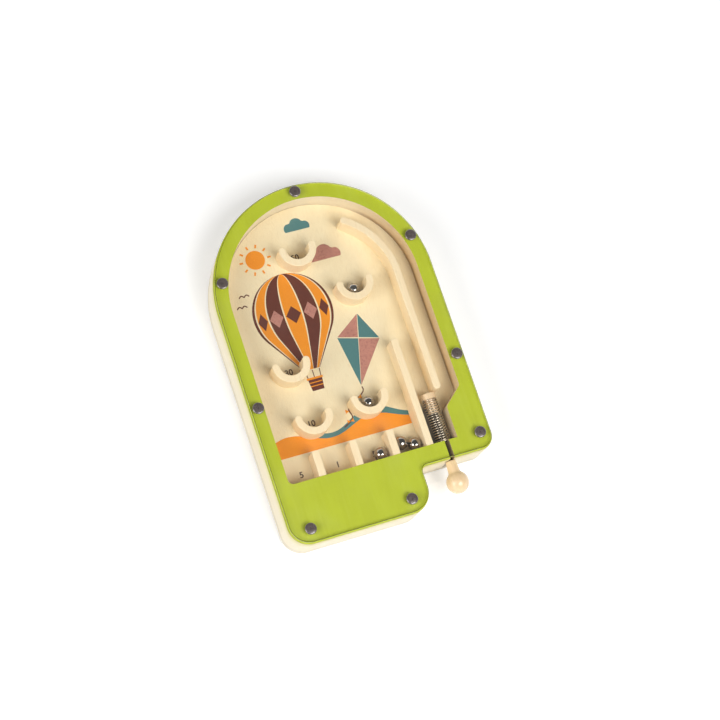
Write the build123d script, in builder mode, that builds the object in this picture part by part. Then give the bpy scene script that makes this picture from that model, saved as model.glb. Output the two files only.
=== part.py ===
"""Tabletop pinball game: an arched wooden case lying on its back, +Z up, in millimetres.

The origin is the middle of the case's footprint, on the table. +Y points to the arched
head, and the sprung plunger is pulled towards -Y from the lane on the right.
"""
import os
from math import cos, pi, radians, sin, sqrt
from build123d import *

# Case, seen from above
case_width = 170.0
case_length = 266.0
lobe_width = 110.0          # the long foot of the case, left of the plunger
step_height = 31.5          # how far the right side stops short of that foot
foot_corner_left = 16.0
foot_corner_right = 17.0
step_corner = 11.0
step_inner_corner = 3.6

# Case, in layers
base_thickness = 9.0
frame_height = 27.0
base_edge_round = 3.0
frame_edge_round = 0.8
seam_chamfer = 0.25         # on both boards, where they meet

# Window through the frame, where the balls roll
side_wall = 11.5
lane_wall = 14.3            # wall behind the plunger's spring
field_depth = 16.5          # from the frame's top down to the playing surface
panel_thickness = 3.0
panel_gap = 0.25            # all round the panel
panel_ledge = 4.0           # what the panel rests on, inside the frame
plunger_bay_wall = 26.3     # right wall of the bay round the plunger
chute_rise = 13.1           # height of the slant that feeds the plunger's lane
chute_start = 24.3          # from the window's bottom to the slant's low end
window_corner = 4.0
chute_corner = 4.0

# Clear cover and its screws
cover_thickness = 3.0
cover_inset = 1.0
cover_bevel = 0.5
head_diameter = 8.6
head_height = 2.0
head_edge = 0.35            # chamfer round a head's flat top
shank_diameter = 3.5
shank_length = 16.0
hole_clearance = 0.25       # round a shank, in the cover
arch_screw_inset = 6.5      # screws: in from the case's edges
arch_screw_angle = 17.0
side_screw_inset = 6.4
side_screw_drop = 75.0      # below the arch's centre
foot_screw_inset_x = 15.6
foot_screw_inset_y = 10.5
step_screw_inset_x = 9.5
step_screw_inset_y = 12.5

# Steel balls
ball_diameter = 10.5
ball_gap = 0.15
ball_lean = 1.0             # third ball, from the divider on its right

# Rails, dividers and cups, glued on the playing surface
wood_gap = 0.5              # between the wood and the cover
wood_edge = 0.3
rail_width = 5.4
return_lane = 13.7          # between the window's right wall and the curved rail
launch_lane = 14.55         # between the two rails
launch_rail_length = 84.5
curved_rail_angle = 58.0    # where the rail ends, from the arch's right side
chute_clearance = 1.1       # round a ball under the curved rail's foot
end_corner = 1.2
divider_width = 5.6
divider_length = 19.6
last_bin_width = 20.75      # beside the launch rail; the other three share the rest

# Cups: two are placed from the arch's centre, three from the window's foot
cup_radius = 14.5
cup_wall = 5.5
head_cup_left = 11.0
head_cup_rise = 36.8
lane_cup_right = 22.8
lane_cup_rise = 0.4
side_cup_inset = 29.9       # from the window's left wall
side_cup_height = 87.2
middle_cup_right = 5.3
middle_cup_height = 48.6
low_cup_inset = 33.9
low_cup_height = 45.4

# Plunger
plunger_inset = 8.7         # axis, in from the right wall of its bay
plunger_depth = 8.5         # axis below the frame's top
rod_diameter = 3.0
rod_slot_gap = 0.3
tip_diameter = 11.4
tip_length = 4.6
tip_gap = 0.5               # below the curved rail's foot, at rest
neck_gap = 0.9              # inside the spring
neck_length = 10.8
tip_round = 0.8
rod_grip = 8.0              # rod held in the tip and in the knob
knob_diameter = 17.0
knob_neck_diameter = 9.2    # where it meets the ball
knob_end_diameter = 7.6     # at the case
knob_reach = 17.0           # from the case to the middle of the knob's ball
knob_gap = 0.3
knob_blend = 2.5
plunger_travel = 18.0

# Spring
spring_diameter = 11.4
spring_wire = 0.8
spring_bend = 1.2           # where the wire leaves its straight ends
spring_turns = 17
wire_sides = 6              # flats round the wire, to keep its many turns light

# Worked out from the above
half_width = case_width / 2
head_y = case_length / 2
foot_y = -case_length / 2
arch_y = head_y - half_width
lobe_x = lobe_width - half_width
step_y = foot_y + step_height
case_top = base_thickness + frame_height
cover_top = case_top + cover_thickness
window_radius = half_width - side_wall
window_y = step_y + lane_wall
bay_x = half_width - plunger_bay_wall
chute_low_y = window_y + chute_start
chute_high_y = chute_low_y + chute_rise
field_z = case_top - field_depth
wood_height = field_depth - wood_gap
ball_radius = ball_diameter / 2

# Rails, and the way under the curved rail's foot that a ball takes to the plunger
curved_rail_x = window_radius - return_lane - rail_width / 2
launch_rail_x = curved_rail_x - rail_width - launch_lane
chute_gap = ball_diameter + chute_clearance
slant_run = window_radius - bay_x
slant_length = sqrt(slant_run**2 + chute_rise**2)
slant_below_rail = chute_low_y + (curved_rail_x - bay_x) * chute_rise / slant_run
rail_foot_y = slant_below_rail + (chute_gap + rail_width / 2) * slant_length / slant_run

# Bins, from the left; their dividers are placed by their middles
bins_right = launch_rail_x - rail_width / 2
first_bins = window_radius + bins_right - last_bin_width - 3 * divider_width
divider_pitch = first_bins / 3 + divider_width
divider_x = [k * divider_pitch - divider_width / 2 - window_radius for k in (1, 2, 3)]

cup_spots = [
    (-head_cup_left, arch_y + head_cup_rise),
    (lane_cup_right, arch_y + lane_cup_rise),
    (side_cup_inset - window_radius, window_y + side_cup_height),
    (middle_cup_right, window_y + middle_cup_height),
    (low_cup_inset - window_radius, window_y + low_cup_height),
]

# Plunger, from the curved rail's foot down to the knob
plunger_x = bay_x - plunger_inset
axis_z = case_top - plunger_depth
tip_y = rail_foot_y - rail_width / 2 - tip_gap
shoulder_y = tip_y - tip_length
neck_diameter = spring_diameter - 2 * (spring_wire + neck_gap)
knob_y = step_y - knob_reach

# Screws: three round the arch, one on each side, two on the foot, one on the step
screw_circle = half_width - arch_screw_inset
screw_spots = [
    (screw_circle * cos(radians(a)), arch_y + screw_circle * sin(radians(a)))
    for a in (90.0, arch_screw_angle, 180.0 - arch_screw_angle)
]
screw_spots += [
    (side_screw_inset - half_width, arch_y - side_screw_drop),
    (half_width - side_screw_inset, arch_y - side_screw_drop),
    (foot_screw_inset_x - half_width, foot_y + foot_screw_inset_y),
    (lobe_x - foot_screw_inset_x, foot_y + foot_screw_inset_y),
    (half_width - step_screw_inset_x, step_y + step_screw_inset_y),
]

plunger_plane = Plane(origin=(plunger_x, 0, axis_z), x_dir=(1, 0, 0), z_dir=(0, 0, 1))
plunger_axis = Axis((plunger_x, 0, axis_z), (0, 1, 0))

os.makedirs("parts", exist_ok=True)


def round_corner(sketch, corner, radius):
    """Round the corner of the sketch in progress that is nearest to the given point."""
    fillet(sketch.vertices().sort_by_distance(corner)[0], radius)


def save(builder, name):
    """Label a finished piece and write it as a file of its own."""
    builder.part.label = name
    export_step(builder.part, f"parts/{name}.step")


# Outline of the case: an arch, a long foot on the left, a short side on the right
with BuildSketch() as case_profile:
    with BuildLine():
        arch = CenterArc((0, arch_y), half_width, 0, 180)
        Polyline(
            arch @ 1,
            (-half_width, foot_y),
            (lobe_x, foot_y),
            (lobe_x, step_y),
            (half_width, step_y),
            arch @ 0,
        )
    make_face()
    round_corner(case_profile, (-half_width, foot_y), foot_corner_left)
    round_corner(case_profile, (lobe_x, foot_y), foot_corner_right)
    round_corner(case_profile, (lobe_x, step_y), step_inner_corner)
    round_corner(case_profile, (half_width, step_y), step_corner)

# Outline of the window, with the slant that leads a ball back to the plunger
with BuildSketch() as window_profile:
    with BuildLine():
        arch = CenterArc((0, arch_y), window_radius, 0, 180)
        Polyline(
            arch @ 1,
            (-window_radius, window_y),
            (bay_x, window_y),
            (bay_x, chute_low_y),
            (window_radius, chute_high_y),
            arch @ 0,
        )
    make_face()
    round_corner(window_profile, (-window_radius, window_y), window_corner)
    round_corner(window_profile, (bay_x, chute_low_y), chute_corner)
    round_corner(window_profile, (window_radius, chute_high_y), chute_corner)

# Base board, with its lower edge rounded where a hand picks the case up
with BuildPart() as base_board:
    with BuildSketch():
        add(case_profile.sketch)
    extrude(amount=base_thickness)
    fillet(base_board.faces().sort_by(Axis.Z)[0].edges(), base_edge_round)
    chamfer(base_board.faces().sort_by(Axis.Z)[-1].edges(), seam_chamfer)
save(base_board, "base_board")

# Frame: a ledge for the panel, the playing window, the rod's slot and the pilot holes
with BuildPart() as frame:
    with BuildSketch(Plane.XY.offset(base_thickness)):
        add(case_profile.sketch)
    extrude(amount=frame_height)
    chamfer(frame.faces().sort_by(Axis.Z)[0].edges(), seam_chamfer)
    fillet(frame.faces().sort_by(Axis.Z)[-1].edges(), frame_edge_round)
    with BuildSketch(Plane.XY.offset(case_top)):
        add(window_profile.sketch)
    extrude(amount=-field_depth - panel_thickness, mode=Mode.SUBTRACT)
    with BuildSketch(Plane.XY.offset(case_top)):
        offset(window_profile.sketch, amount=-panel_ledge)
    extrude(amount=-frame_height, mode=Mode.SUBTRACT)
    with BuildSketch(Plane.XZ.offset(-window_y)):
        slot_radius = rod_diameter / 2 + rod_slot_gap
        with Locations((plunger_x, axis_z)):
            Circle(slot_radius)
            Rectangle(2 * slot_radius, plunger_depth, align=(Align.CENTER, Align.MIN))
    extrude(amount=lane_wall, mode=Mode.SUBTRACT)
    with Locations(*[(x, y, case_top) for x, y in screw_spots]):
        Hole(shank_diameter / 2, shank_length - cover_thickness)
save(frame, "frame")

# Printed playing surface, dropped in from above on to the frame's ledge
with BuildPart() as playfield_panel:
    with BuildSketch(Plane.XY.offset(field_z - panel_thickness)):
        offset(window_profile.sketch, amount=-panel_gap)
    extrude(amount=panel_thickness)
save(playfield_panel, "playfield_panel")

# Clear cover over the whole face, a little smaller than the frame and bevelled
with BuildPart() as cover:
    with BuildSketch(Plane.XY.offset(case_top)):
        offset(case_profile.sketch, amount=-cover_inset)
    extrude(amount=cover_thickness)
    chamfer(cover.faces().sort_by(Axis.Z)[-1].edges(), cover_bevel)
    with Locations(*[(x, y, cover_top) for x, y in screw_spots]):
        Hole(shank_diameter / 2 + hole_clearance, cover_thickness)
save(cover, "cover")

# One low-headed wood screw, then the eight that hold the cover
with BuildPart() as one_screw:
    with BuildSketch(Plane.XZ):
        with BuildLine():
            Polyline(
                (0, head_height),
                (head_diameter / 2 - head_edge, head_height),
                (head_diameter / 2, head_height - head_edge),
                (head_diameter / 2, 0),
                (shank_diameter / 2, 0),
                (shank_diameter / 2, shank_diameter - shank_length),
                (0, -shank_length),
                close=True,
            )
        make_face()
    revolve(axis=Axis.Z)
with BuildPart() as cover_screws:
    with Locations(*[(x, y, cover_top) for x, y in screw_spots]):
        add(one_screw.part)
save(cover_screws, "cover_screws")

# Straight rail between the bins and the plunger's lane
with BuildPart() as launch_rail:
    with BuildSketch(Plane.XY.offset(field_z)):
        with Locations((launch_rail_x, window_y)):
            Rectangle(rail_width, launch_rail_length, align=(Align.CENTER, Align.MIN))
    extrude(amount=wood_height)
    far_end = launch_rail.faces().sort_by(Axis.Y)[-1]
    fillet(far_end.edges().filter_by(Axis.Z), end_corner)
    chamfer(launch_rail.faces().sort_by(Axis.Z)[-1].edges(), wood_edge)
save(launch_rail, "launch_rail")

# Curved rail: up beside the lane, then round the arch, with round ends
with BuildPart() as curved_rail:
    with BuildSketch(Plane.XY.offset(field_z)):
        with BuildLine():
            Line((curved_rail_x, rail_foot_y), (curved_rail_x, arch_y))
            CenterArc((0, arch_y), curved_rail_x, 0, curved_rail_angle)
            offset(amount=rail_width / 2, side=Side.BOTH)
        make_face()
    extrude(amount=wood_height)
    chamfer(curved_rail.faces().sort_by(Axis.Z)[-1].edges(), wood_edge)
save(curved_rail, "curved_rail")

# Three dividers make four scoring bins along the foot of the window
for number, x in enumerate(divider_x, 1):
    with BuildPart() as bin_divider:
        with BuildSketch(Plane.XY.offset(field_z)):
            with Locations((x, window_y)):
                Rectangle(divider_width, divider_length, align=(Align.CENTER, Align.MIN))
        extrude(amount=wood_height)
        far_end = bin_divider.faces().sort_by(Axis.Y)[-1]
        fillet(far_end.edges().filter_by(Axis.Z), end_corner)
        chamfer(bin_divider.faces().sort_by(Axis.Z)[-1].edges(), wood_edge)
    save(bin_divider, f"bin_divider_{number}")

# Five half-ring cups, open towards the arched head
for number, spot in enumerate(cup_spots, 1):
    with BuildPart() as ball_cup:
        with BuildSketch(Plane.XY.offset(field_z)):
            with BuildLine():
                CenterArc(spot, cup_radius - cup_wall / 2, 180, 180)
                offset(amount=cup_wall / 2, side=Side.BOTH)
            make_face()
        extrude(amount=wood_height)
        chamfer(ball_cup.faces().sort_by(Axis.Z)[-1].edges(), wood_edge)
    save(ball_cup, f"ball_cup_{number}")

# Five steel balls: two lie in cups, one in the third bin, and two crowd the fourth,
# where the second rides up on the first
cup_drop = cup_radius - cup_wall - ball_radius - ball_gap
bin_y = window_y + ball_radius + ball_gap
third_bin_x = divider_x[2] - divider_width / 2 - ball_lean - ball_radius
right_x = bins_right - ball_radius - ball_gap
left_x = bins_right - last_bin_width + ball_radius + ball_gap
ride_up = sqrt((ball_diameter + ball_gap) ** 2 - (right_x - left_x) ** 2)
ball_spots = [(cup_spots[k][0], cup_spots[k][1] - cup_drop) for k in (1, 3)]
ball_spots += [(third_bin_x, bin_y), (right_x, bin_y), (left_x, bin_y + ride_up)]
for number, (x, y) in enumerate(ball_spots, 1):
    with BuildPart() as ball:
        with Locations((x, y, field_z + ball_radius + ball_gap)):
            Sphere(ball_radius)
    save(ball, f"ball_{number}")

# Plunger tip: a turned wooden cap whose neck fills the first turns of the spring
with BuildPart() as plunger_tip:
    with BuildSketch(plunger_plane):
        with BuildLine():
            Polyline(
                (0, tip_y),
                (tip_diameter / 2, tip_y),
                (tip_diameter / 2, shoulder_y),
                (neck_diameter / 2, shoulder_y),
                (neck_diameter / 2, shoulder_y - neck_length),
                (rod_diameter / 2, shoulder_y - neck_length),
                (rod_diameter / 2, shoulder_y - neck_length + rod_grip),
                (0, shoulder_y - neck_length + rod_grip),
                close=True,
            )
        make_face()
    revolve(axis=plunger_axis)
    fillet(plunger_tip.faces().sort_by(Axis.Y)[-1].edges(), tip_round)
save(plunger_tip, "plunger_tip")

# Steel rod from the tip, through the slot in the wall, into the knob
rod_top = shoulder_y - neck_length + rod_grip
rod_foot = step_y - knob_gap - rod_grip
with BuildPart() as plunger_rod:
    with BuildSketch(Plane.XZ.offset(-rod_top)):
        with Locations((plunger_x, axis_z)):
            Circle(rod_diameter / 2)
    extrude(amount=rod_top - rod_foot)
save(plunger_rod, "plunger_rod")

# Turned knob: a ball on a short neck that tapers to the case and stops against it
knob_radius = knob_diameter / 2
neck_radius = knob_neck_diameter / 2
neck_join = (neck_radius, knob_y + sqrt(knob_radius**2 - neck_radius**2))
neck_end = (knob_end_diameter / 2, step_y - knob_gap)
with BuildPart() as plunger_knob:
    with BuildSketch(plunger_plane) as knob_half:
        with BuildLine():
            ThreePointArc(neck_join, (knob_radius, knob_y), (0, knob_y - knob_radius))
            Polyline(
                (0, knob_y - knob_radius),
                (0, rod_foot),
                (rod_diameter / 2, rod_foot),
                (rod_diameter / 2, step_y - knob_gap),
                neck_end,
                neck_join,
            )
        make_face()
        round_corner(knob_half, neck_join, knob_blend)
        round_corner(knob_half, neck_end, tip_round)
    revolve(axis=plunger_axis)
save(plunger_knob, "plunger_knob")

# Spring: one wire round the rod, from the wall to the tip's shoulder. Each half turn is
# two arcs, and both ends bend to stand square on what they meet
coil_radius = (spring_diameter - spring_wire) / 2
spring_length = shoulder_y - window_y
coil_start = window_y + spring_wire + spring_bend
coil_end = shoulder_y - spring_wire - spring_bend
half_turns = 2 * spring_turns
rise = (coil_end - coil_start) / half_turns
bend_turn = spring_bend / coil_radius
along_axis = Vector(0, 1, 0)


def coil_point(turn, along):
    """A point at the coil's radius, some way round the rod and along it."""
    return Vector(plunger_x + coil_radius * cos(turn), along, axis_z + coil_radius * sin(turn))


def coil_heading(turn):
    """The wire's direction in the coil, some way round the rod."""
    half_round = coil_radius * pi
    return Vector(-half_round * sin(turn), rise, half_round * cos(turn)).normalized()


def two_arcs(start, start_way, end, end_way):
    """Join two points by two arcs that leave and arrive in the given directions."""
    across = end - start
    both = start_way + end_way
    spread = 2 * (1 - start_way.dot(end_way))
    lean = across.dot(both)
    reach = (sqrt(lean**2 + spread * across.dot(across)) - lean) / spread
    first = start + start_way * reach
    second = end - end_way * reach
    middle = (first + second) * 0.5
    TangentArc(start, middle, tangent=start_way)
    TangentArc(middle, end, tangent=second - first)


with BuildPart() as plunger_spring:
    with BuildLine() as wire_line:
        foot = coil_point(-bend_turn, window_y + spring_wire)
        Line(foot - along_axis * spring_wire, foot)
        two_arcs(foot, along_axis, coil_point(0, coil_start), coil_heading(0))
        for half_turn in range(half_turns):
            turn, next_turn = half_turn * pi, (half_turn + 1) * pi
            along = coil_start + rise * half_turn
            two_arcs(
                coil_point(turn, along),
                coil_heading(turn),
                coil_point(next_turn, along + rise),
                coil_heading(next_turn),
            )
        last_turn = half_turns * pi
        top = coil_point(last_turn + bend_turn, shoulder_y - spring_wire)
        two_arcs(coil_point(last_turn, coil_end), coil_heading(last_turn), top, along_axis)
        Line(top, top + along_axis * spring_wire)
    with BuildSketch(wire_line.line ^ 0):
        RegularPolygon(spring_wire / 2, wire_sides)
    sweep()
save(plunger_spring, "plunger_spring")

# The spring's own least gap, between points of its wire half a turn or more apart
points_apart = 6
point_count = 2 * points_apart * spring_turns
wire_points = [wire_line.line @ (k / point_count) for k in range(point_count + 1)]
least_gap = min(
    (wire_points[j] - wire_points[i]).length - spring_wire
    for i in range(len(wire_points))
    for j in range(i + points_apart, len(wire_points))
)
print(f"spring: {spring_turns} turns, least gap to itself {least_gap:.2f} mm")
print(f"spring squeezed by {plunger_travel} mm of {spring_length:.1f} mm")
print(f"ball gap under the curved rail {chute_gap:.1f} mm for a {ball_diameter} mm ball")
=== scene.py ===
"""Looks of the tabletop pinball game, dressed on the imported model.

Blender units are metres; small sizes are written in millimetres and multiplied by mm. +Y points
to the arched head, and +Z up out of the playing face.
"""
from math import cos, pi, radians, sin, tan

import bmesh
import bpy
from mathutils import Matrix, Quaternion, Vector


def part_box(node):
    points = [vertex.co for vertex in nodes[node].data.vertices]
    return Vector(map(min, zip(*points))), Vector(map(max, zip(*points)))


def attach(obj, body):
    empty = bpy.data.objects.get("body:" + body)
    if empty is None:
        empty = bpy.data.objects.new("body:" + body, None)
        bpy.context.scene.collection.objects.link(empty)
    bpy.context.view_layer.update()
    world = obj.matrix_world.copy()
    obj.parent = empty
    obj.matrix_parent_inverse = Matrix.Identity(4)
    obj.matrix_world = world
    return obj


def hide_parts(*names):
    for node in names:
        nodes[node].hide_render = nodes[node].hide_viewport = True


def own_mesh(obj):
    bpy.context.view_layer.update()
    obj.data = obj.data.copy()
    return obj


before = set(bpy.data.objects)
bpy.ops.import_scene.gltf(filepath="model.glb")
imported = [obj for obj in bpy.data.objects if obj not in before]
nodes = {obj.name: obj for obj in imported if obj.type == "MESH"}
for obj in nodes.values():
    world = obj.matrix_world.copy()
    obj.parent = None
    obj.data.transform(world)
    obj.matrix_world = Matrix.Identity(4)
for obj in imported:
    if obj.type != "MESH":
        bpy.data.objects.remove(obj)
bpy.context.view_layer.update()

mm = 0.001
field_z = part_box("playfield_panel")[1].z
frame_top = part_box("frame")[1].z
cover_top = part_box("cover")[1].z
rod_x = sum(corner.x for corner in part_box("plunger_rod")) / 2
spring_low, spring_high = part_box("plunger_spring")

# Camera, solved from the case's outline and its screws
camera_place = Vector((-0.3951, -0.3393, 1.4734))
camera_aim = Vector((0.0069, -0.0114, 0.036))
camera_roll = radians(33.72)
camera_lens, camera_sensor = 103.12, 36.0

# Light: a softbox on each side of the camera, given by direction and power, in a room that is
# brightest at the horizon and fades up to fill_top, the sine of the angle above it
softbox_distance = 2.2
softbox_size = 1.27
left_softbox = (Vector((-0.77, -0.13, 0.62)), 22.2)
right_softbox = (Vector((0.20, -0.49, 0.85)), 33.5)
fill_low, fill_high, fill_top = 0.9, 0.1, 0.6

# Stage
floor_grey = 0.88
floor_lift = 0.28          # glow that brings the floor up to white where it is seen
floor_reach = 12.0
backdrop_height = 4.0
stage_sides = 64

# Relief of the surfaces, for their bump
wood_relief = 0.03 * mm
paint_relief = 0.02 * mm
board_relief = 0.01 * mm

# Paint, and shade painted on the frame and the board
paint_depth = 1.3 * mm     # how far the green reaches down the frame's edge
paint_sway = 0.3 * mm
spill_depth = 12 * mm      # how far a faint haze of it reaches
foot_shade_height = 5.4 * mm    # painted shade, brown, at the foot of the window's walls
foot_shade_sway = 1.2 * mm
slot_half_width = 2.3 * mm
spring_shade_half_width = 5 * mm    # painted shade under the spring

cover_lift = 0.04 * mm     # keeps the cover's lower face off the paint
weld = 0.001 * mm          # points nearer to each other are one

# Screws
head_diameter = 8.6 * mm
head_height = 2.0 * mm
head_slope = 0.6 * mm      # width of the low slope round a head's flat top
slope_start, slope_gain = 0.33, 0.15      # its fall, as a share of its run so far
slope_steps = 5
head_edge = 0.15 * mm
screw_sides = 48
shank_diameter = 3.5 * mm
shank_length = 16.0 * mm
recess_span = 3.4 * mm
recess_width = 0.6 * mm
recess_depth = 0.6 * mm
floor_span, floor_width = 0.45, 0.7       # the recess's floor, as shares of its mouth
screw_turn = radians(37)   # from one screw's recess to the next
sliver = 0.002 * mm        # width of the waste that a cut leaves

# Spring
spring_wire = 0.8 * mm
spring_turns = 17
closed_turns, opening_turns = 0.8, 0.5    # at each end, before the open ones
closed_pitch = 1.03        # in diameters of the wire
steps_per_turn = 32

# Print on the playing surface; in the print, sizes and places are in plain millimetres
ink_thickness = 0.03 * mm
digit_height = 4.6
digit_share = 0.73         # of the type's size
digit_boldness = 0.12


def spaced(low, high, steps):
    """Evenly spaced values from low to high, both kept."""
    return [low + (high - low) * k / steps for k in range(steps + 1)]


def ink(red, green, blue):
    """A colour as a picture editor gives it, turned into the linear one that shaders take."""
    parts = [value / 255 for value in (red, green, blue)]
    return tuple(p / 12.92 if p <= 0.04045 else ((p + 0.055) / 1.055) ** 2.4 for p in parts) + (1,)


class Finish:
    """A material round one Principled shader, with short ways to add nodes to it."""

    def __init__(self, name, **sockets):
        self.material = bpy.data.materials.new(name)
        self.material.use_nodes = True
        self.tree = self.material.node_tree
        self.shader = self.tree.nodes["Principled BSDF"]
        for socket, value in sockets.items():
            self.shader.inputs[socket.replace("_", " ")].default_value = value
        coordinates = self.tree.nodes.new("ShaderNodeTexCoord")
        self.place = coordinates.outputs["Object"]
        self.facing = coordinates.outputs["Normal"]

    def node(self, kind, inputs, **settings):
        """Add a node; an input is a number, a colour or another node's output."""
        made = self.tree.nodes.new("ShaderNode" + kind)
        for name, value in settings.items():
            setattr(made, name, value)
        for socket, value in inputs.items():
            if isinstance(value, bpy.types.NodeSocket):
                self.tree.links.new(value, made.inputs[socket])
            else:
                made.inputs[socket].default_value = value
        return made

    def noise(self, x, y, z, detail, roughness=0.5):
        """Noise of so many features to the metre along each axis."""
        placed = self.node("Mapping", {"Vector": self.place, "Scale": (x, y, z)})
        inputs = {"Vector": placed.outputs[0], "Scale": 1.0}
        inputs |= {"Detail": detail, "Roughness": roughness}
        return self.node("TexNoise", inputs).outputs[0]

    def part(self, vector, axis):
        """One coordinate of a vector."""
        return self.node("SeparateXYZ", {"Vector": vector}).outputs[axis]

    def math(self, operation, first, second=0.0):
        """A sum, product or the like of two numbers; some operations take only the first."""
        return self.node("Math", {0: first, 1: second}, operation=operation).outputs[0]

    def fade(self, value, low, high, start=0.0, end=1.0):
        """Go from start to end, smoothly, as the value goes from low to high."""
        inputs = {"Value": value, 1: low, 2: high, 3: start, 4: end}
        made = self.node("MapRange", inputs, interpolation_type="SMOOTHSTEP", clamp=True)
        return made.outputs[0]

    def mix(self, share, first, second):
        """Go from the first colour to the second."""
        return self.node("Mix", {0: share, 6: first, 7: second}, data_type="RGBA").outputs[2]

    def drive(self, socket, value):
        """Let a node's output set one socket of the shader."""
        self.tree.links.new(value, self.shader.inputs[socket])

    def bump(self, height, depth):
        """Let a height from 0 to 1 raise the surface by up to the depth."""
        inputs = {"Height": height, "Distance": depth, "Strength": 1.0}
        self.drive("Normal", self.node("Bump", inputs).outputs[0])


def grain(finish, pale, deep):
    """Fine straight wood grain along Y: broad tone, streaks and short pores."""
    def stretched(across, lengthwise, detail):
        return finish.noise(across, lengthwise, across, detail)

    tone = finish.fade(stretched(70, 7, 3), 0.3, 0.75)
    streaks = finish.fade(stretched(620, 22, 5), 0.35, 0.75, 0, 0.55)
    pores = finish.fade(stretched(1700, 130, 1), 0.62, 0.74, 0, 0.4)
    middle = tuple((a + b) / 2 for a, b in zip(pale, deep))
    colour = finish.mix(tone, pale, middle)
    colour = finish.mix(streaks, colour, deep)
    colour = finish.mix(pores, colour, tuple(0.8 * c for c in deep[:3]) + (1,))
    relief = finish.math("SUBTRACT", stretched(900, 40, 4), finish.math("MULTIPLY", pores, 0.8))
    return colour, relief, streaks


def wood(name, pale, deep):
    """Bare sanded wood."""
    finish = Finish(name, IOR=1.45)
    colour, relief, streaks = grain(finish, pale, deep)
    finish.drive("Base Color", colour)
    finish.drive("Roughness", finish.fade(streaks, 0, 0.55, 0.5, 0.65))
    finish.bump(relief, wood_relief)
    return finish.material


def painted_wood():
    """The frame: bare wood outside, painted shade on its window's walls and slot, painted green
    over its top.
    """
    finish = Finish("painted_frame", IOR=1.45, Specular_IOR_Level=0.35)
    bare, relief, _ = grain(finish, ink(250, 242, 218), ink(240, 226, 194))
    x, y, z = (finish.part(finish.place, axis) for axis in range(3))
    upward = finish.part(finish.facing, 2)
    wall = finish.fade(finish.math("ABSOLUTE", upward), 0.3, 0.1)
    sideways, ahead = (finish.part(finish.facing, axis) for axis in (0, 1))
    across, along = finish.math("MULTIPLY", sideways, x), finish.math("MULTIPLY", ahead, y)
    outward = finish.math("ADD", across, along)
    inner = finish.math("MULTIPLY", wall, finish.fade(outward, 0.0, -5 * mm))
    outer = finish.math("MULTIPLY", wall, finish.fade(outward, 0.0, 5 * mm))
    # Painted shade: the walls of the rod's slot dark brown, and left bare of green
    from_rod = finish.math("ABSOLUTE", finish.math("SUBTRACT", x, rod_x))
    beside_rod = finish.fade(from_rod, slot_half_width + 0.3 * mm, slot_half_width)
    in_foot = finish.fade(y, spring_low.y + 0.2 * mm, spring_low.y - 0.6 * mm)
    not_on_top = finish.fade(upward, 0.5, 0.3)
    shaded_slot = finish.math("MULTIPLY", beside_rod, finish.math("MULTIPLY", in_foot, not_on_top))

    # Painted shade: the window's inner walls tan, less on those facing the foot, and brown at
    # their foot, most on walls facing -X; worn here marks part of that painted shade
    uneven = finish.math("MULTIPLY", finish.noise(160, 160, 160, 2), foot_shade_sway)
    lifted = finish.math("SUBTRACT", z, uneven)
    foot = finish.fade(lifted, field_z + 0.4 * mm, field_z + foot_shade_height, 1, 0)
    wall_shade = finish.math("MULTIPLY", inner, finish.fade(ahead, -0.9, -0.4, 0.2, 0.65))
    worn = finish.math("MULTIPLY", inner, finish.fade(sideways, -0.5, -0.8, 0.1, 0.55))
    wood_and_shade = finish.mix(wall_shade, bare, ink(226, 192, 134))
    wood_and_shade = finish.mix(finish.math("MULTIPLY", foot, worn), wood_and_shade, ink(124, 78, 36))
    wood_and_shade = finish.mix(finish.math("MULTIPLY", shaded_slot, 0.55), wood_and_shade, ink(96, 66, 34))
    spill = finish.fade(lifted, frame_top - spill_depth, frame_top - 2 * mm, 0, 0.65)
    wood_and_shade = finish.mix(finish.math("MULTIPLY", spill, outer), wood_and_shade, ink(222, 214, 132))

    strokes = finish.noise(420, 30, 420, 4)
    cloud = finish.noise(60, 38, 60, 2)
    green = finish.mix(finish.fade(cloud, 0.3, 0.7), ink(186, 198, 34), ink(181, 192, 30))
    green = finish.mix(finish.fade(strokes, 0.4, 0.75, 0, 0.35), green, ink(192, 203, 54))
    # Painted shade: the paint's rounded edge darker olive
    green = finish.mix(finish.fade(upward, 0.97, 0.75), green, ink(180, 180, 84))
    ragged = finish.math("MULTIPLY", finish.noise(500, 500, 500, 2), paint_sway)
    height = finish.math("ADD", z, ragged)
    high = finish.fade(height, frame_top - paint_depth, frame_top - paint_depth + 0.5 * mm)
    outside = finish.fade(finish.math("MAXIMUM", inner, shaded_slot), 0.6, 0.1)
    coat = finish.math("MULTIPLY", high, outside)
    finish.drive("Base Color", finish.mix(coat, wood_and_shade, green))
    finish.drive("Roughness", finish.fade(coat, 0, 1, 0.58, 0.5))
    finish.bump(finish.math("ADD", relief, strokes), paint_relief)
    return finish.material


def turned_wood():
    """Wood turned round the plunger's axis: grain along it, fine tool rings across it."""
    finish = Finish("turned_wood", IOR=1.45, Coat_Weight=1.0, Coat_Roughness=0.2)
    colour, relief, streaks = grain(finish, ink(248, 218, 174), ink(240, 204, 154))
    rings = finish.noise(4, 2600, 4, 2)
    ringed = finish.fade(rings, 0.55, 0.8, 0, 0.15)
    finish.drive("Base Color", finish.mix(ringed, colour, ink(218, 180, 130)))
    finish.drive("Roughness", finish.fade(streaks, 0, 0.55, 0.4, 0.5))
    finish.bump(finish.math("ADD", relief, rings), paint_relief)
    return finish.material


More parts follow.
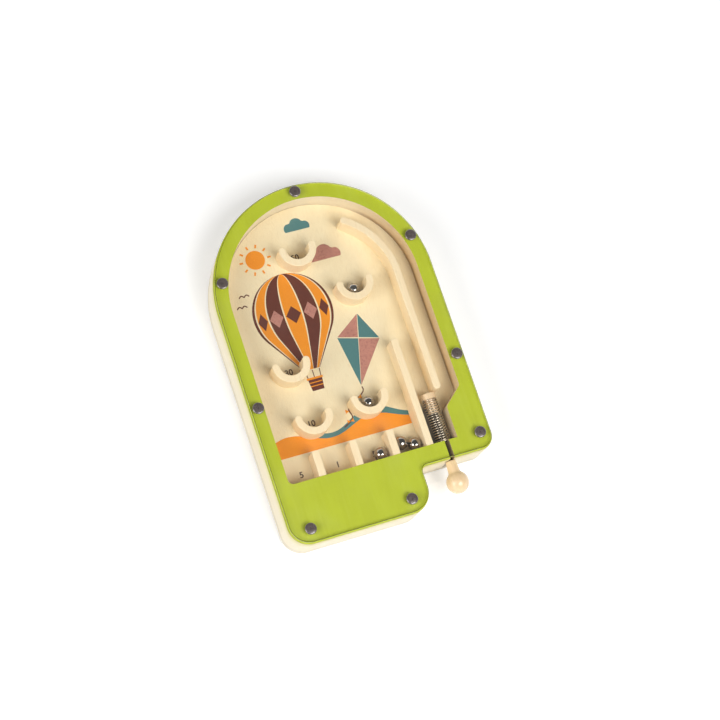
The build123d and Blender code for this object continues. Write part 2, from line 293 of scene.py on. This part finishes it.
def printed_cream():
    """The playing surface: cream print on a smooth board, a little mottled, with painted shade
    under the spring.
    """
    finish = Finish("cream_surface", IOR=1.45)
    cloud = finish.noise(45, 30, 45, 3)
    fibre = finish.noise(1500, 260, 1500, 3)
    cream = finish.mix(finish.fade(cloud, 0.3, 0.7), ink(245, 229, 190), ink(240, 222, 180))
    cream = finish.mix(finish.fade(fibre, 0.45, 0.8, 0, 0.5), cream, ink(226, 204, 158))
    x, y = (finish.part(finish.place, axis) for axis in (0, 1))
    # Painted shade: the board dark brown under the spring
    from_spring = finish.math("ABSOLUTE", finish.math("SUBTRACT", x, rod_x - 2 * mm))
    beside = finish.fade(from_spring, spring_shade_half_width + 3 * mm, spring_shade_half_width)
    below = finish.fade(y, spring_high.y + 2 * mm, spring_high.y - 6 * mm, 0, 0.85)
    spring_shade = finish.math("MULTIPLY", beside, below)
    cream = finish.mix(spring_shade, cream, ink(64, 42, 20))
    finish.drive("Base Color", cream)
    finish.drive("Roughness", finish.fade(fibre, 0.3, 0.8, 0.5, 0.65))
    finish.bump(fibre, board_relief)
    return finish.material


def printed_ink(name, colour, worn, speckle=0.45):
    """A flat matt ink with the fine mottle of a screen print."""
    finish = Finish(name, IOR=1.45, Specular_IOR_Level=0.35)
    mottle = finish.noise(700, 700, 700, 4, 0.7)
    cloud = finish.noise(80, 80, 80, 2)
    shade = finish.mix(finish.fade(mottle, 0.5, 0.72, 0, speckle), colour, worn)
    shade = finish.mix(finish.fade(cloud, 0.35, 0.7, 0, 0.2), shade, worn)
    finish.drive("Base Color", shade)
    finish.drive("Roughness", finish.fade(mottle, 0.3, 0.8, 0.55, 0.7))
    return finish.material


def metal(name, colour, stain, roughness, marks_per_metre, **sockets):
    """Metal, bare or coated, with a faint stain and fine marks."""
    finish = Finish(name, **{"Metallic": 1.0, **sockets})
    marks = finish.noise(*marks_per_metre, 3)
    cloud = finish.noise(120, 120, 120, 3)
    finish.drive("Base Color", finish.mix(finish.fade(cloud, 0.35, 0.75), colour, stain))
    finish.drive("Roughness", finish.fade(marks, 0.35, 0.75, roughness * 0.8, roughness * 1.4))
    return finish


def paint_shade_below(finish, height):
    """Darken a metal where it lies below a height, as painted shade."""
    unshaded = finish.shader.inputs["Base Color"].links[0].from_socket
    share = finish.fade(finish.part(finish.place, 2), height + 0.5 * mm, height - 1.5 * mm, 0, 0.9)
    finish.drive("Base Color", finish.mix(share, unshaded, (0.05, 0.035, 0.02, 1)))


def clear_sheet():
    """Clear acrylic: its faces are almost unseen, its sides painted pale as light caught on the
    edge and its bevel painted dark as shade.
    """
    finish = Finish("clear_acrylic", IOR=1.49, Roughness=0.15)
    upward = finish.part(finish.facing, 2)
    level = finish.math("ABSOLUTE", upward)
    bevel = finish.math("MULTIPLY", finish.fade(level, 0.97, 0.9), finish.fade(level, 0.35, 0.55))
    side = finish.fade(level, 0.5, 0.3)
    smear = finish.fade(finish.noise(40, 26, 40, 4), 0.45, 0.8, 0.012, 0.03)
    face = finish.math("MULTIPLY", smear, finish.fade(upward, 0.0, 0.5))
    alpha = finish.math("ADD", face, finish.math("MULTIPLY", side, 0.6))
    alpha = finish.math("ADD", alpha, finish.math("MULTIPLY", bevel, 0.65))
    finish.drive("Alpha", alpha)
    # Painted light and shade: pale on the sheet's sides, dark olive on its bevel
    painted_edge_light = finish.mix(side, ink(250, 250, 240), ink(246, 248, 176))
    finish.drive("Base Color", finish.mix(bevel, painted_edge_light, ink(92, 98, 20)))
    finish.drive("Specular IOR Level", finish.fade(bevel, 0, 1, 1.0, 0.1))
    return finish.material


case_wood = wood("case_wood", ink(238, 229, 208), ink(224, 212, 188))
rail_wood = wood("rail_wood", ink(255, 236, 196), ink(250, 222, 174))
waxed_wood = turned_wood()
frame_finish = painted_wood()
cream_finish = printed_cream()
clear_finish = clear_sheet()
ball_steel = metal(
    "ball_steel", (0.42, 0.39, 0.36, 1), (0.36, 0.33, 0.30, 1), 0.05, (900, 900, 900)
)
rod_steel = metal(
    "rod_steel", (0.30, 0.25, 0.20, 1), (0.22, 0.18, 0.14, 1), 0.2, (2500, 60, 2500)
)
wire_steel = metal(
    "wire_steel", (0.70, 0.60, 0.46, 1), (0.54, 0.46, 0.34, 1), 0.16, (1500, 1500, 1500)
)
screw_steel = metal(
    "screw_steel", (0.16, 0.126, 0.116, 1), (0.10, 0.078, 0.07, 1), 0.3, (900, 900, 900),
    Metallic=0.3, Coat_Weight=1.0, Coat_Roughness=0.2, Coat_IOR=1.7,
)
# Painted shade on the spring's wire below its axis
paint_shade_below(wire_steel, (spring_low.z + spring_high.z) / 2)
orange = printed_ink("ink_orange", ink(236, 142, 14), ink(246, 160, 40))
brown = printed_ink("ink_brown", ink(94, 38, 22), ink(114, 54, 34))
teal = printed_ink("ink_teal", ink(74, 122, 122), ink(88, 134, 130))
pink = printed_ink("ink_pink", ink(190, 130, 114), ink(146, 92, 80), 0.9)
dark = printed_ink("ink_dark", ink(84, 62, 48), ink(112, 88, 70))


def dress(material, *names):
    """Give CAD nodes their material."""
    for name in names:
        nodes[name].data.materials.clear()
        nodes[name].data.materials.append(material)


def numbered(stem, count):
    """The names stem_1, stem_2 and so on."""
    return [f"{stem}_{k}" for k in range(1, count + 1)]


dress(case_wood, "base_board")
dress(frame_finish, "frame")
dress(cream_finish, "playfield_panel")
dress(rail_wood, "launch_rail", "curved_rail")
dress(rail_wood, *numbered("bin_divider", 3), *numbered("ball_cup", 5))
dress(waxed_wood, "plunger_tip", "plunger_knob")
dress(rod_steel.material, "plunger_rod")
dress(ball_steel.material, *numbered("ball", 5))


def show(name, mesh, material):
    """Put a mesh in the scene as an object."""
    mesh.name = name
    mesh.materials.append(material)
    piece = bpy.data.objects.new(name, mesh)
    bpy.context.scene.collection.objects.link(piece)
    return piece


def taken_mesh(source):
    """The finished mesh of a curve, text or modified object, which is then deleted."""
    bpy.context.view_layer.update()
    ready = source.evaluated_get(bpy.context.evaluated_depsgraph_get())
    mesh = bpy.data.meshes.new_from_object(ready)
    bpy.data.objects.remove(source)
    return mesh


def soften(mesh, angle):
    """Shade smoothly, but keep edges sharper than the angle."""
    mesh.shade_smooth()
    mesh.set_sharp_from_angle(angle=radians(angle))


# Cover: the CAD sheet, its lower face lifted off the paint by a hair so that both render
cover_mesh = nodes["cover"].data.copy()
cover_mesh.materials.clear()
for point in cover_mesh.vertices:
    point.co.z = max(point.co.z, frame_top + cover_lift)
cover_sheet = show("cover_sheet", cover_mesh, clear_finish)
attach(cover_sheet, "case")
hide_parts("cover")


# Screws: low heads that slope a little to their rim, with a small cross recess, in one mesh
# that all eight share
def turned(outline, steps):
    """A mesh turned round Z from an outline of (radius, height) points."""
    lathe = bmesh.new()
    points = [lathe.verts.new((radius, 0, height)) for radius, height in outline]
    edges = [lathe.edges.new(pair) for pair in zip(points, points[1:])]
    bmesh.ops.spin(
        lathe, geom=points + edges, cent=(0, 0, 0), axis=(0, 0, 1), angle=2 * pi, steps=steps
    )
    bmesh.ops.remove_doubles(lathe, verts=lathe.verts, dist=weld)
    bmesh.ops.recalc_face_normals(lathe, faces=lathe.faces)
    mesh = bpy.data.meshes.new("turned")
    lathe.to_mesh(mesh)
    lathe.free()
    return mesh


def cross_cutter():
    """Two crossing tapered blades, the shape of a cross-head driver."""
    cutter = bmesh.new()
    for turn in (0, pi / 2):
        blade = bmesh.ops.create_cube(cutter, size=1)["verts"]
        for point in blade:
            deep = point.co.z < 0
            point.co.x *= recess_span * (floor_span if deep else 1)
            point.co.y *= recess_width * (floor_width if deep else 1)
            point.co.z = -recess_depth if deep else recess_depth
        bmesh.ops.rotate(cutter, verts=blade, matrix=Matrix.Rotation(turn, 3, "Z"))
    bmesh.ops.translate(cutter, verts=cutter.verts, vec=(0, 0, head_height))
    mesh = bpy.data.meshes.new("cutter")
    cutter.to_mesh(mesh)
    cutter.free()
    return mesh


def ordered(mesh):
    """The mesh with its points and faces in a fixed order; a cut leaves them in any order."""
    points = sorted(mesh.vertices, key=lambda point: tuple(point.co))
    number = {point.index: k for k, point in enumerate(points)}
    faces = []
    for face in mesh.polygons:
        corners = [number[k] for k in face.vertices]
        first = corners.index(min(corners))
        faces.append(corners[first:] + corners[:first])
    fixed = bpy.data.meshes.new(mesh.name)
    fixed.from_pydata([point.co for point in points], [], sorted(faces))
    for material in mesh.materials:
        fixed.materials.append(material)
    return fixed


def join_flats(mesh):
    """Join the slivers of flat faces that a cut leaves, then split wide faces afresh."""
    shape = bmesh.new()
    shape.from_mesh(mesh)
    bmesh.ops.remove_doubles(shape, verts=shape.verts, dist=sliver)
    bmesh.ops.dissolve_limit(shape, angle_limit=radians(1), verts=shape.verts, edges=shape.edges)
    bmesh.ops.triangulate(shape, faces=[f for f in shape.faces if len(f.verts) > 4])
    shape.to_mesh(mesh)
    shape.free()


def screw_mesh():
    """One screw, its height measured from the cover's top face; its tip is a short cone."""
    radius = head_diameter / 2
    outline = [(0, head_height)]
    for share in spaced(0, 1, slope_steps):
        drop = share * head_slope * (slope_start + slope_gain * share)
        outline.append((radius - head_edge - head_slope * (1 - share), head_height - drop))
    outline += [(radius, outline[-1][1] - head_edge), (radius, 0), (shank_diameter / 2, 0)]
    outline += [(shank_diameter / 2, shank_diameter - shank_length), (0, -shank_length)]
    blank = show("screw_blank", turned(outline, screw_sides), screw_steel.material)
    cutter = show("screw_cutter", cross_cutter(), screw_steel.material)
    cut = blank.modifiers.new("recess", "BOOLEAN")
    cut.object, cut.operation, cut.use_self = cutter, "DIFFERENCE", True
    mesh = ordered(taken_mesh(blank))
    bpy.data.objects.remove(cutter)
    join_flats(mesh)
    soften(mesh, 30)
    return mesh


def screw_places():
    """The middle of each screw in the CAD node, read from its separate solids."""
    solids = bmesh.new()
    solids.from_mesh(nodes["cover_screws"].data)
    bmesh.ops.remove_doubles(solids, verts=solids.verts, dist=weld)
    waiting, places = set(solids.verts), []
    while waiting:
        group, edge = set(), [waiting.pop()]
        while edge:
            point = edge.pop()
            group.add(point)
            edge += [e.other_vert(point) for e in point.link_edges]
            edge = [p for p in edge if p not in group]
        waiting -= group
        places.append(Vector([(min(c) + max(c)) / 2 for c in zip(*[p.co for p in group])]))
    solids.free()
    return sorted(places, key=lambda p: (round(p.y, 4), p.x))


screw_shape = screw_mesh()
for number, place in enumerate(screw_places(), 1):
    screw = bpy.data.objects.new(f"screw_{number}", screw_shape)
    bpy.context.scene.collection.objects.link(screw)
    screw.location = (place.x, place.y, cover_top)
    screw.rotation_euler.z = screw_turn * number
    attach(screw, "case")
    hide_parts("cover_screws")


# Spring: a smooth coil in the CAD spring's place
def coil_points(low, high):
    """Points along the wire: open turns between two that lie flat on what they push."""
    middle = (low + high) / 2
    radius = (high.x - low.x - spring_wire) / 2
    steps = steps_per_turn * (spring_turns + 2)
    turns = spaced(0, spring_turns + 2, steps)
    from_end = [min(turn, turns[-1] - turn) for turn in turns[1:]]
    open_share = [min(1, max(0, turn - closed_turns) / opening_turns) for turn in from_end]
    closed_rise = closed_pitch * spring_wire / steps_per_turn
    spare = high.y - low.y - spring_wire - steps * closed_rise
    open_rise = spare / sum(open_share)
    along, points = low.y + spring_wire / 2, []
    for turn, share in zip(turns, [0] + open_share):
        along += (closed_rise + open_rise * share) if points else 0
        around = 2 * pi * turn
        x, z = middle.x + radius * cos(around), middle.z + radius * sin(around)
        points.append(Vector((x, along, z)))
    return points


def wire_mesh(points, diameter):
    """A round wire through the points, closed at its ends."""
    line = bpy.data.curves.new("wire", "CURVE")
    line.dimensions = "3D"
    line.bevel_depth = diameter / 2
    line.bevel_resolution = 4
    line.use_fill_caps = True
    run = line.splines.new("POLY")
    run.points.add(len(points) - 1)
    for control, point in zip(run.points, points):
        control.co = (*point, 1)
    source = bpy.data.objects.new("wire", line)
    bpy.context.scene.collection.objects.link(source)
    mesh = taken_mesh(source)
    mesh.materials.clear()
    soften(mesh, 60)
    return mesh


spring_points = coil_points(spring_low, spring_high)
spring = show("spring_coil", wire_mesh(spring_points, spring_wire), wire_steel.material)
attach(spring, "case")
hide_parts("plunger_spring")
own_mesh(spring)


# Print: a striped balloon and a kite over low hills, with clouds, a sun and gulls, in flat inks
def printed(name, outlines, material, layer):
    """Closed flat shapes of one ink, lying on the playing surface."""
    low, high = field_z - ink_thickness, field_z + layer * ink_thickness
    shapes = bmesh.new()
    for outline in outlines:
        corners = [shapes.verts.new((x * mm, y * mm, low)) for x, y in outline]
        face = shapes.faces.new(corners)
        raised = bmesh.ops.extrude_face_region(shapes, geom=[face])["geom"]
        lifted = [g for g in raised if isinstance(g, bmesh.types.BMVert)]
        bmesh.ops.translate(shapes, verts=lifted, vec=(0, 0, high - low))
    bmesh.ops.triangulate(shapes, faces=[f for f in shapes.faces if len(f.verts) > 4])
    bmesh.ops.recalc_face_normals(shapes, faces=shapes.faces)
    mesh = bpy.data.meshes.new(name)
    shapes.to_mesh(mesh)
    shapes.free()
    piece = show(name, mesh, material)
    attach(piece, "case")


def ring(x, y, wide, tall, start=0, end=360, steps=36):
    """Points of an ellipse, or of a stretch of it, counter-clockwise."""
    turns = [radians(a) for a in spaced(start, end, steps)]
    if end - start == 360:
        turns.pop()
    return [(x + wide * cos(t), y + tall * sin(t)) for t in turns]


def ribbon(points, width):
    """A band of even width along a line of points."""
    left, right = [], []
    for before, point, after in zip([points[0]] + points, points, points[1:] + [points[-1]]):
        along = Vector(after) - Vector(before)
        aside = Vector((-along.y, along.x)).normalized() * width / 2
        left.append((point[0] + aside.x, point[1] + aside.y))
        right.append((point[0] - aside.x, point[1] - aside.y))
    return left + right[::-1]


# Balloon: a round crown that turns into a straight taper at its shoulder
balloon_x, balloon_y = -26.0, 41.0
balloon_radius = 31.5
taper_angle = -35.0
mouth_width = 13.0
crown_share = 0.7          # of the way from the crown's top to the mouth
crown_tip = 0.02           # where the gores start
gores = 7
gore_gap = 0.035           # in the balloon's half-widths
band_y, band_half_height = balloon_y - 1.5, 7.0
band_inset = 0.08          # in widths of a gore
shoulder_x = balloon_radius * cos(radians(taper_angle))
shoulder_y = balloon_y + balloon_radius * sin(radians(taper_angle))
mouth_y = shoulder_y - (shoulder_x - mouth_width / 2) / abs(tan(radians(taper_angle)))


def envelope(share):
    """Half the balloon's width, and its height, from the crown at 0 to the mouth at 1."""
    if share < crown_share:
        turn = radians(90 + (taper_angle - 90) * share / crown_share)
        return balloon_radius * cos(turn), balloon_y + balloon_radius * sin(turn)
    fall = (share - crown_share) / (1 - crown_share)
    wide = shoulder_x + (mouth_width / 2 - shoulder_x) * fall
    return wide, shoulder_y + (mouth_y - shoulder_y) * fall


def seam(number):
    """Where a seam between two gores shows, from -1 at the left edge to 1 at the right."""
    return sin(radians(-90 + 180 * number / gores))


def gore(number):
    """One stripe of the balloon, between two of its seams."""
    seams = [seam(number) + gore_gap / 2, seam(number + 1) - gore_gap / 2]
    down = [envelope(share) for share in spaced(crown_tip, 1, 30)]
    left, right = [[(balloon_x + place * wide, y) for wide, y in down] for place in seams]
    return left + right[::-1]


def diamond(number):
    """A diamond in the middle of a stripe, part of the band round the balloon."""
    left, right = seam(number + band_inset), seam(number + 1 - band_inset)
    first, middle, last = [
        balloon_x + balloon_radius * place for place in (left, (left + right) / 2, right)
    ]
    return [
        (first, band_y), (middle, band_y - band_half_height),
        (last, band_y), (middle, band_y + band_half_height),
    ]


# Basket, hung from the balloon's mouth by three ropes
basket_top, basket_foot = mouth_y - 7.0, mouth_y - 16.5
top_reach, foot_reach = 5.6, 4.6
rim_reach, rim_width = 6.3, 1.6
weave_reach, weave_drops = 4.9, (3.2, 5.9)
rope_width = 0.7


def crossband(reach, drop, width):
    """A level band across the basket, so far below its top."""
    y = basket_top - drop
    return ribbon([(balloon_x - reach, y), (balloon_x + reach, y)], width)


basket = [
    (balloon_x - top_reach, basket_top), (balloon_x - foot_reach, basket_foot),
    (balloon_x + foot_reach, basket_foot), (balloon_x + top_reach, basket_top),
]
rope_ends = ((5.6, mouth_y - 0.6), (5.0, basket_top))
ropes = [
    ribbon([(balloon_x + reach * side, y) for reach, y in rope_ends], rope_width)
    for side in (-1, 0, 1)
]
basket_rim = crossband(rim_reach, 0, rim_width)
weave = [crossband(weave_reach, drop, rope_width) for drop in weave_drops]

# Kite, with a waving tail and its bows
kite_head, kite_foot = Vector((21.0, 28.0)), Vector((6.0, -27.0))
kite_cross, kite_half_width, kite_seam = 0.34, 16.5, 0.5
spine = kite_foot - kite_head
kite_side = Vector((-spine.y, spine.x)).normalized() * kite_half_width
kite_middle = kite_head + spine * kite_cross
tail_reach, tail_drop, tail_width = 22.0, 27.0, 0.9
tail_sway, tail_phase = 3.4, 9.5          # how far it waves to each side, and its whole phase


def kite_panel(tip, side):
    """A quarter of the kite, drawn in from the seams round it."""
    corners = [kite_middle, tip, kite_middle + side]
    centre = (corners[0] + corners[1] + corners[2]) / 3
    return [tuple(c + (centre - c).normalized() * kite_seam) for c in corners]


def tail_point(share):
    """The kite's tail, waving down to the left."""
    x = kite_foot.x - tail_reach * share + tail_sway * sin(tail_phase * share)
    return (x, kite_foot.y - tail_drop * share)


def bow(share, size):
    """Two small triangles tied on the tail, their points a hair apart."""
    x, y = tail_point(share)
    corners = ((0.1, 0), (size, size * 0.75), (size * 1.1, -size * 0.45))
    return [[(x + side * out, y + up) for out, up in corners] for side in (-1, 1)]


teal_panels = [kite_panel(kite_head, kite_side), kite_panel(kite_foot, -kite_side)]
pink_panels = [kite_panel(kite_head, -kite_side), kite_panel(kite_foot, kite_side)]
tail = ribbon([tail_point(share) for share in spaced(0.02, 1, 40)], tail_width)
bows = bow(0.3, 3.0) + bow(0.6, 2.7) + bow(0.88, 2.4)


# Hills, which end in a straight line above the bins
hill_left, hill_right, hill_foot = -72.9, 34.0, -64.6
far_hill_left = -38.0


def hill(left, right, height, swell, waves, shift):
    """Rolling ground from left to right, on the hills' straight foot."""
    def crest(x):
        turn = waves * 2 * pi * (x - left) / (right - left) + shift
        return (x, hill_foot + height + swell * sin(turn))

    return [(left, hill_foot), (right, hill_foot)] + [crest(x) for x in spaced(right, left, 60)]


far_hill = hill(far_hill_left, hill_right, height=15.5, swell=6.0, waves=1.1, shift=3.6)
near_hill = hill(hill_left, hill_right, height=10.5, swell=4.5, waves=1.6, shift=0.4)

# Sky: clouds, a sun and two gulls
sun_x, sun_y = -41.0, 88.0
sun_radius = 7.5
ray_start, ray_end, ray_width = 9.6, 12.4, 1.4
ray_count = 10
gull_reach, gull_rise, gull_width = 4.0, 1.5, 0.9


def cloud(x, y, size):
    """Three bumps on a flat foot, each a stretch of an ellipse that goes by the cloud's size."""
    bumps = ring(x + size, y, size * 0.55, size * 0.6, -90, 100, 14)
    bumps += ring(x, y + size * 0.35, size * 0.8, size * 0.8, 25, 155, 18)
    bumps += ring(x - size, y, size * 0.6, size * 0.65, 80, 270, 14)
    return [(px, max(py, y - size * 0.35)) for px, py in bumps]


def sunbeam(turn):
    """One ray, clear of the sun's disc."""
    ends = [(sun_x + far * cos(turn), sun_y + far * sin(turn)) for far in (ray_start, ray_end)]
    return ribbon(ends, ray_width)


def gull(x, y):
    """Two arched wings that meet in a dip."""
    wings = [
        (x + gull_reach * share, y + gull_rise * abs(sin(pi * share)))
        for share in spaced(-1, 1, 16)
    ]
    return ribbon(wings, gull_width)


sun = ring(sun_x, sun_y, sun_radius, sun_radius)
sunbeams = [sunbeam(turn) for turn in spaced(0, 2 * pi, ray_count)[:-1]]

printed("print_far_hill", [far_hill], teal, 1)
printed("print_near_hill", [near_hill], orange, 2)
printed("print_brown_gores", [gore(k) for k in range(0, gores, 2)], brown, 1)
printed("print_orange_gores", [gore(k) for k in range(1, gores, 2)], orange, 1)
printed("print_band", [diamond(k) for k in range(1, gores, 2)], brown, 2)
printed("print_band_inlay", [diamond(k) for k in range(2, gores - 1, 2)], pink, 2)
printed("print_basket", [basket, *ropes], brown, 1)
printed("print_basket_trim", [basket_rim, *weave], orange, 2)
printed("print_kite_teal", teal_panels, teal, 1)
printed("print_kite_pink", pink_panels, pink, 1)
printed("print_tail", [tail], brown, 2)
printed("print_bows", bows, orange, 3)
printed("print_clouds", [cloud(12.0, 78.0, 8.0)], pink, 1)
printed("print_high_cloud", [cloud(-2.0, 105.0, 6.5)], teal, 1)
printed("print_sun", [sun, *sunbeams], orange, 1)
printed("print_gulls", [gull(-58.0, 62.0), gull(-62.0, 54.0)], brown, 1)


# Numbers in the bins and cups
bin_scores, bin_middles = ("5", "1", "5", "1"), (-58.8, -30.2, -1.2, 26.0)
cup_scores = ("50", "20", "30", "20", "10")
bin_score_rise, cup_score_drop = 7.6, 5.6      # above a bin's foot and below a cup's rim


def number_mesh(text, x, y):
    """A printed number, in the row frame."""
    letters = bpy.data.curves.new("number", "FONT")
    letters.body = text
    letters.size = digit_height / digit_share * mm
    letters.align_x, letters.align_y = "CENTER", "CENTER"
    letters.extrude = 2 * ink_thickness
    letters.offset = digit_boldness * mm
    source = bpy.data.objects.new("number", letters)
    source.location = (x * mm, y * mm, field_z + ink_thickness)
    bpy.context.scene.collection.objects.link(source)
    place = source.location.copy()
    mesh = taken_mesh(source)
    mesh.transform(Matrix.Translation(place))
    return mesh


def scores():
    """The numbers printed in the bins, near their foot, and in the cups' bowls."""
    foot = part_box("bin_divider_1")[0].y / mm + bin_score_rise
    spots = [(score, x, foot) for score, x in zip(bin_scores, bin_middles)]
    for cup, score in zip(numbered("ball_cup", 5), cup_scores):
        low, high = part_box(cup)
        spots.append((score, (low.x + high.x) / 2 / mm, high.y / mm - cup_score_drop))
    return spots


digits = bmesh.new()
for text, x, y in scores():
    digits.from_mesh(number_mesh(text, x, y))
bmesh.ops.remove_doubles(digits, verts=digits.verts, dist=weld)
bmesh.ops.recalc_face_normals(digits, faces=digits.faces)
score_mesh = bpy.data.meshes.new("print_numbers")
digits.to_mesh(score_mesh)
digits.free()
score_mesh.materials.clear()
numbers = show("print_numbers", score_mesh, dark)
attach(numbers, "case")


# Stage: floor, a low backdrop all round, lamps and camera
def white_stage(name, bare, grey, lift):
    """White where it is seen directly or in a reflection; to other light, its bare shader."""
    material = bpy.data.materials.new(name)
    material.use_nodes = True
    tree = material.node_tree
    tree.nodes.clear()
    path = tree.nodes.new("ShaderNodeLightPath")
    seen = path.outputs["Is Camera Ray"]
    for kind in ("Is Glossy Ray", "Is Transmission Ray"):
        either = tree.nodes.new("ShaderNodeMath")
        either.operation = "MAXIMUM"
        tree.links.new(seen, either.inputs[0])
        tree.links.new(path.outputs[kind], either.inputs[1])
        seen = either.outputs[0]
    glow = tree.nodes.new("ShaderNodeEmission")
    strength = tree.nodes.new("ShaderNodeMath")
    strength.operation = "MULTIPLY"
    strength.inputs[1].default_value = lift
    tree.links.new(seen, strength.inputs[0])
    tree.links.new(strength.outputs[0], glow.inputs["Strength"])
    surface = tree.nodes.new(bare)
    surface.inputs["Color"].default_value = (grey, grey, grey, 1)
    added = tree.nodes.new("ShaderNodeAddShader")
    tree.links.new(surface.outputs[0], added.inputs[0])
    tree.links.new(glow.outputs[0], added.inputs[1])
    output = tree.nodes.new("ShaderNodeOutputMaterial")
    tree.links.new(added.outputs[0], output.inputs["Surface"])
    return material


def stage_mesh(name, points, faces, material):
    """Put a piece of the stage in the scene."""
    mesh = bpy.data.meshes.new(name)
    mesh.from_pydata(points, [], faces)
    show(name, mesh, material)


floor_paint = white_stage("floor_paint", "ShaderNodeBsdfDiffuse", floor_grey, floor_lift)
rim = [
    Vector((floor_reach * cos(turn), floor_reach * sin(turn), 0))
    for turn in spaced(0, 2 * pi, stage_sides)[:-1]
]
stage_mesh("floor", rim, [range(stage_sides)], floor_paint)
wall_paint = white_stage("backdrop_paint", "ShaderNodeBsdfTransparent", 1.0, 1.0)
wall = rim + [point + Vector((0, 0, backdrop_height)) for point in rim]
wall_faces = [
    (k, (k + 1) % stage_sides, (k + 1) % stage_sides + stage_sides, k + stage_sides)
    for k in range(stage_sides)
]
stage_mesh("backdrop", wall, wall_faces, wall_paint)


def softbox(name, direction, power):
    """A square lamp that faces the object."""
    lamp = bpy.data.lights.new(name, "AREA")
    lamp.shape, lamp.size, lamp.energy = "SQUARE", softbox_size, power
    holder = bpy.data.objects.new(name, lamp)
    holder.location = direction.normalized() * softbox_distance
    holder.rotation_euler = (-direction).to_track_quat("-Z", "Y").to_euler()
    bpy.context.scene.collection.objects.link(holder)


softbox("left_softbox", *left_softbox)
softbox("right_softbox", *right_softbox)

world = bpy.data.worlds.new("studio")
world.use_nodes = True
sky = world.node_tree
direction = sky.nodes.new("ShaderNodeTexCoord")
split = sky.nodes.new("ShaderNodeSeparateXYZ")
level = sky.nodes.new("ShaderNodeMapRange")
level.interpolation_type = "SMOOTHSTEP"
for socket, value in {1: 0.0, 2: fill_top, 3: fill_low, 4: fill_high}.items():
    level.inputs[socket].default_value = value
sky.links.new(direction.outputs["Generated"], split.inputs[0])
sky.links.new(split.outputs["Z"], level.inputs[0])
sky.nodes["Background"].inputs["Color"].default_value = (1, 1, 1, 1)
sky.links.new(level.outputs[0], sky.nodes["Background"].inputs["Strength"])
bpy.context.scene.world = world

camera_data = bpy.data.cameras.new("camera")
camera_data.lens, camera_data.sensor_width = camera_lens, camera_sensor
camera = bpy.data.objects.new("camera", camera_data)
camera.location = camera_place
camera.rotation_mode = "QUATERNION"
level_view = (camera_aim - camera_place).to_track_quat("-Z", "Y")
camera.rotation_quaternion = level_view @ Quaternion((0, 0, 1), camera_roll)
bpy.context.scene.collection.objects.link(camera)
bpy.context.scene.camera = camera
bpy.context.scene.view_settings.view_transform = "Standard"
